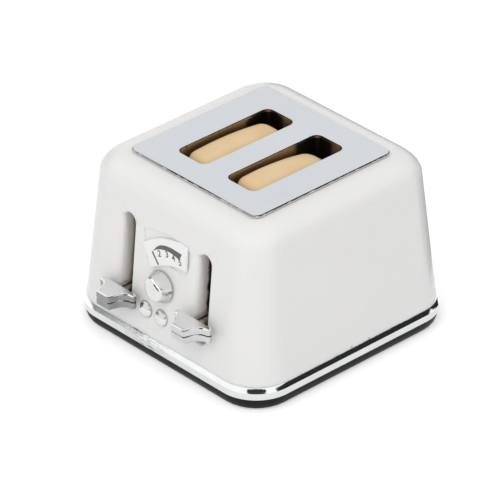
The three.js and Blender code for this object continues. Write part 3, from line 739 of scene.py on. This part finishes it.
# One copy of the plating for each facing: top as it is, a painted highlight on the arris, painted
# shade on the side, and painted dark reflection on the grey and streaked ones
for name, bright, dull in [
    ("top", 0.84, 0.79),
    ("arris", 1.0, 0.98),
    ("side", 0.6, 0.52),
    ("grey", 0.3, 0.245),
    ("streaked", 0.7, 0.62),
]:
    material, tree, shader, place = surface("handle_" + name, Metallic=1.0, Roughness=0.1)
    worn = placed(tree, patches, place, Scale=260.0)
    tone = mixed(tree, worn, (bright, bright, bright, 1), (dull, dull, dull, 1))
    if name == "streaked":
        # Painted dark reflections as streaks at the right end and at the nose of the handles
        across = separated(tree, place)["X"]
        side = calculated(tree, "SIGN", across)
        across = weighted_sum(tree, (across, 1.0), (side, -slot_middle * mm), (worn, 0.0002))
        ends = ranged(tree, across, 0.0029, 0.0031, 0, 1)
        nose = product(
            tree,
            ranged(tree, across, 0.0013, 0.0015, 0, 1),
            ranged(tree, across, 0.0021, 0.0023, 1, 0),
        )
        streaks = weighted_sum(tree, (ends, 1.0), (nose, 0.8))
        tone = mixed(tree, streaks, tone, (0.015, 0.015, 0.014, 1))
    tree.links.new(tone, shader.inputs["Base Color"])
    tree.links.new(ranged(tree, worn, 0, 1, 0.05, 0.12), shader.inputs["Roughness"])
    bumped(tree, shader, placed(tree, waves, place, Scale=500.0), 0.08, 0.00005)
    handle_chrome[name] = material

# The stems are given a brown metal: a painted reflection of the slot walls
stem_painted_reflection, tree, shader, place = surface("stem_painted_reflection", Metallic=1.0, Roughness=0.25)
worn = placed(tree, patches, place, Scale=700.0)
tone = mixed(tree, worn, (0.46, 0.4, 0.35, 1), (0.3, 0.26, 0.22, 1))
tree.links.new(tone, shader.inputs["Base Color"])
bumped(tree, shader, worn, 0.2, 0.0001)


def joined(parts):
    """One shape from several solids in millimetres, each with its place. Returns it in metres."""
    whole = bmesh.new()
    for part, place in parts:
        part.transform(Matrix.Scale(mm, 4) @ place)
        mesh = bpy.data.meshes.new("part")
        part.to_mesh(mesh)
        part.free()
        whole.from_mesh(mesh)
        bpy.data.meshes.remove(mesh)
    return whole


handle_back = -27.2
stem_back = -20.4
stem_length = 7.8
handle_half = [
    (1.8, handle_back - 4.7, 0.2),
    (2.7, handle_back - 1.3, 1.5),
    (4.9, handle_back - 1.1, 0.5),
    (4.9, handle_back, 0.45),
]
handle_corners = handle_half + [(-x, y, rounding) for x, y, rounding in reversed(handle_half)]
for side, x, height, flank in [
    ("left", -slot_middle, 12.1, "grey"),
    ("right", slot_middle, 14.4, "side"),
]:
    handle_finishes = [handle_chrome[name] for name in ("top", "arris", "streaked", flank)]
    handle_finishes.append(stem_painted_reflection)
    parts = []
    # Two tiers with rounded rims, and a smaller one between them that makes the groove
    for low, high, top, foot, size in [
        (-1.6, -0.08, 0.06, 0.3, 1),
        (0.08, 1.6, 0.3, 0.06, 1),
        (-0.4, 0.4, 0, 0, 0.93),
    ]:
        tier = bmesh.new()
        outlined(tier, handle_corners)
        thickened(tier, high - low, top, foot, segments=2)
        middle = Matrix.Translation((0, handle_back - 1.2, 0))
        smaller = middle @ Matrix.Diagonal((size, size, 1, 1)) @ middle.inverted()
        parts.append((tier, Matrix.Translation((x, 0, height + low)) @ smaller))
    stem = bmesh.new()
    outlined(stem, [(1.35, 1.5, 1.2), (-1.35, 1.5, 1.2), (-1.35, -1.5, 1.2), (1.35, -1.5, 1.2)])
    thickened(stem, stem_length, 0)
    laid = Matrix.Rotation(math.pi / 2, 4, "X")
    parts.append((stem, Matrix.Translation((x, stem_back, height)) @ laid))
    piece = finished(
        joined(parts),
        "lever_" + side,
        "lever_handle_" + side,
        side + "_lift",
        "bright_trim",
        *handle_finishes,
        corner=30,
    )
    for face in piece.data.polygons:
        slope = face.normal.z
        level = face.center.z / mm - height
        behind = face.center.y / mm - handle_back
        if behind > 0.05:
            finish = stem_painted_reflection
        elif abs(level) < 0.2:
            finish = handle_chrome["streaked"]
        elif slope > 0.98 or (slope > 0.2 and behind > -1.3):
            finish = handle_chrome["top"]
        elif slope > 0.55:
            finish = handle_chrome["arris"]
        elif slope > 0.2:
            finish = handle_chrome["streaked"]
        else:
            finish = handle_chrome[flank]
        face.material_index = handle_finishes.index(finish)


# Knob
# A plated knob turned to a taper, with a raised bar across its face painted as a highlight and
# a dark bar along it painted as a dark reflection. Its flank is a little darker, a painted shade.
def on_face(x, height):
    """Place on the drafted front face, in millimetres, with Z out of it."""
    front = front_slope * (height - foot_height) - front_foot
    return Matrix.Translation((x, front, height)) @ Matrix.Rotation(math.pi / 2 - draft, 4, "X")


def turned(profile, steps):
    """A solid of revolution in millimetres about Z, from radius and height, lowest first."""
    shape = bmesh.new()
    points = [shape.verts.new((radius, 0, height)) for radius, height in profile]
    edges = [shape.edges.new(pair) for pair in zip(points, points[1:])]
    bmesh.ops.spin(
        shape,
        geom=points + edges,
        axis=(0, 0, 1),
        cent=(0, 0, 0),
        angle=2 * math.pi,
        steps=steps,
        use_merge=True,
    )
    bmesh.ops.remove_doubles(shape, verts=shape.verts, dist=0.0005)
    bmesh.ops.recalc_face_normals(shape, faces=shape.faces)
    return shape


knob_chrome = {}
for name, bright, dull in [
    ("face", 0.72, 0.66),
    ("flank", 0.66, 0.58),
    ("mark", 1.0, 0.98),
    ("shaded", 0.02, 0.015),
]:
    material, tree, shader, place = surface("knob_" + name, Metallic=1.0, Roughness=0.2)
    worn = placed(tree, patches, place, Scale=300.0)
    tone = mixed(tree, worn, (bright, bright, bright * 0.99, 1), (dull, dull, dull * 0.985, 1))
    tree.links.new(tone, shader.inputs["Base Color"])
    tree.links.new(ranged(tree, worn, 0, 1, 0.16, 0.26), shader.inputs["Roughness"])
    bumped(tree, shader, placed(tree, patches, place, Scale=400.0), 0.05, 0.00005)
    knob_chrome[name] = material

knob_profile = [(0, -3.3), (0.9, -3.3), (0.9, 0.3), (3.22, 0.3), (3.3, 0.38), (3.3, 0.6)]
rim_start = 25
rim_steps = 8
rim_radius = 0.62
face_radius = 1.95
face_height = 2.6
for step in range(rim_steps + 1):
    angle = math.radians(rim_start + (90 - rim_start) * step / rim_steps)
    radius = face_radius + rim_radius * math.cos(angle)
    height = face_height + rim_radius * (math.sin(angle) - 1)
    knob_profile.append((radius, height))
knob_profile.append((0, face_height))
knob_place = on_face(-0.4, 17.4)
cap = turned(knob_profile, 72)
mark_turn = Matrix.Rotation(math.radians(-28), 4, "Z")
mark_place = knob_place @ mark_turn @ Matrix.Translation((0.1, 1.5, face_height - 0.3))
parts = [(cap, knob_place)]
# The bar with the painted highlight, and the one beside it with the painted dark reflection
for left, right, low, high, rise in [(-1.5, 1.4, 0, 0.5, 0.42), (-0.5, 1.3, -0.42, 0.04, 0.38)]:
    bar = bmesh.new()
    outlined(bar, [(right, high, 0.2), (left, high, 0.2), (left, low, 0.2), (right, low, 0.2)])
    thickened(bar, rise, 0.08, segments=2)
    parts.append((bar, mark_place))
knob_finishes = list(knob_chrome.values())
knob_cap = finished(
    joined(parts),
    "knob",
    "knob_cap",
    "browning_knob",
    "bright_trim",
    *knob_finishes,
    corner=35,
)
to_mark = mark_place.inverted()
for face in knob_cap.data.polygons:
    x, y, height = to_mark @ (face.center / mm)
    outward = to_mark.to_3x3() @ face.normal
    if abs(x) < 1.55 and -0.45 < y < 0.55 and height > 0.31:
        finish = knob_chrome["shaded" if y < 0.02 else "mark"]
    elif outward.z < 0.5:
        finish = knob_chrome["flank"]
    else:
        finish = knob_chrome["face"]
    face.material_index = knob_finishes.index(finish)


# Buttons
# Two plated domes that stand out of round holes in the face, each with a flange behind it
# that keeps it in.
dome_steps = 10
dome_radius = 1.66
dome_foot = 0.1
dome_height = 1.0
flange_back = -2.25
flange_front = -1.65
flange_radius = 2.1
for side, x in [("left", -4.5), ("right", -0.05)]:
    profile = [
        (0, flange_back),
        (flange_radius, flange_back),
        (flange_radius, flange_front),
        (dome_radius, flange_front),
        (dome_radius, dome_foot),
    ]
    for step in range(1, dome_steps + 1):
        angle = math.radians(90 * step / dome_steps)
        radius = dome_radius * math.cos(angle)
        profile.append((radius, dome_foot + dome_height * math.sin(angle)))
    finished(
        joined([(turned(profile, 48), on_face(x, 10.6))]),
        "button_" + side,
        "button_dome_" + side,
        side + "_button",
        "bright_trim",
        knob_chrome["face"],
    )


# Scale plate
# A white card-thin plate stuck on a little crooked, with a printed wedge, a line and the
# numbers 2 to 5 in grey ink.
scale_white, tree, shader, place = surface("scale_white", Roughness=0.3)
worn = placed(tree, patches, place, Scale=180.0)
tone = mixed(tree, worn, (0.9, 0.9, 0.893, 1), (0.86, 0.86, 0.85, 1))
tree.links.new(tone, shader.inputs["Base Color"])
tree.links.new(ranged(tree, worn, 0, 1, 0.24, 0.36), shader.inputs["Roughness"])
bumped(tree, shader, placed(tree, grain, place, Scale=2600.0), 0.05, 0.00003)
finished(
    merged("dial_plate"),
    "dial_plate",
    "scale_card",
    "toaster",
    "scale_plate",
    scale_white,
    softened=0.05,
)

grey_ink, tree, shader, place = surface("grey_ink", Roughness=0.5)
thin = placed(tree, grain, place, Scale=3000.0)
tone = mixed(tree, thin, (0.07, 0.07, 0.068, 1), (0.13, 0.13, 0.125, 1))
tree.links.new(tone, shader.inputs["Base Color"])
ink_depth = 0.01
number_size = 1.85
card_thickness = 0.45
scale_turn = Matrix.Rotation(math.radians(18), 4, "Z")
card_top = on_face(0.75, 24.1) @ Matrix.Translation((0, 0, card_thickness)) @ scale_turn
wedge = [
    (-4.08, 0.83, 0),
    (-1.9, 2.42, 1),
    (0.9, 2.46, 1.4),
    (4.62, 1.06, 0),
    (3.66, -0.12, 0),
    (1.8, 1.0, 1.2),
    (-0.3, 1.62, 1.3),
    (-2.6, 1.5, 0.6),
]
pointer_line = [(-4.2, 0.8, 0), (-3.0, -1.74, 0), (-2.62, -1.56, 0), (-3.78, 0.96, 0)]
for name, corners in [("scale_wedge", wedge), ("scale_line", pointer_line)]:
    shape = bmesh.new()
    outlined(shape, corners)
    thickened(shape, ink_depth, 0)
    finished(joined([(shape, card_top)]), None, name, "toaster", "scale_plate", grey_ink)
for digit, x, y in [("2", -2.01, 0.61), ("3", 0.19, 0.65), ("4", 1.98, 0.11), ("5", 3.7, -0.67)]:
    text = bpy.data.curves.new("scale_number_" + digit, "FONT")
    text.body = digit
    text.size = number_size
    text.align_x = "CENTER"
    text.align_y = "CENTER"
    text.extrude = ink_depth
    text.offset = 0.035
    thing = linked(text.name, text)
    evaluated = thing.evaluated_get(bpy.context.evaluated_depsgraph_get())
    mesh = bpy.data.meshes.new_from_object(evaluated)
    shape = bmesh.new()
    shape.from_mesh(mesh)
    bmesh.ops.remove_doubles(shape, verts=shape.verts, dist=0.0005)
    bmesh.ops.recalc_face_normals(shape, faces=shape.faces)
    bpy.data.objects.remove(thing)
    bpy.data.curves.remove(text)
    bpy.data.meshes.remove(mesh)
    finished(
        joined([(shape, card_top @ Matrix.Translation((x, y, 0)))]),
        None,
        "scale_number_" + digit,
        "toaster",
        "scale_plate",
        grey_ink,
    )


# Inner pieces and screws
# Dark moulded carriages and bracket, soft return pads, steel rods, washer and screws. Hardly
# any of them shows, so their solids are kept as they are.
dark_moulding, tree, shader, place = surface("dark_moulding", Roughness=0.55)
worn = placed(tree, patches, place, Scale=200.0)
tone = mixed(tree, worn, (0.028, 0.028, 0.03, 1), (0.045, 0.045, 0.047, 1))
tree.links.new(tone, shader.inputs["Base Color"])
bumped(tree, shader, placed(tree, grain, place, Scale=3000.0), 0.2, 0.00003)

plain_steel, tree, shader, place = surface("plain_steel", Metallic=1.0, Roughness=0.3)
worn = placed(tree, patches, place, Scale=400.0)
tone = mixed(tree, worn, (0.6, 0.61, 0.63, 1), (0.48, 0.49, 0.5, 1))
tree.links.new(tone, shader.inputs["Base Color"])
tree.links.new(ranged(tree, worn, 0, 1, 0.24, 0.42), shader.inputs["Roughness"])

pad_rubber, tree, shader, place = surface("pad_rubber", Roughness=0.85)
worn = placed(tree, patches, place, Scale=500.0)
tone = mixed(tree, worn, (0.28, 0.29, 0.3, 1), (0.34, 0.35, 0.36, 1))
tree.links.new(tone, shader.inputs["Base Color"])
bumped(tree, shader, placed(tree, grain, place, Scale=3600.0), 0.3, 0.00003)

for start, material in {
    "carriage_": dark_moulding,
    "button_bracket": dark_moulding,
    "button_pad_": pad_rubber,
    "guide_rod_": plain_steel,
    "lever_screw_": plain_steel,
    "bracket_screw_": plain_steel,
    "knob_washer": plain_steel,
    "base_screw_": plain_steel,
}.items():
    for name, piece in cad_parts.items():
        if name.startswith(start):
            piece.data.materials.clear()
            piece.data.materials.append(material)
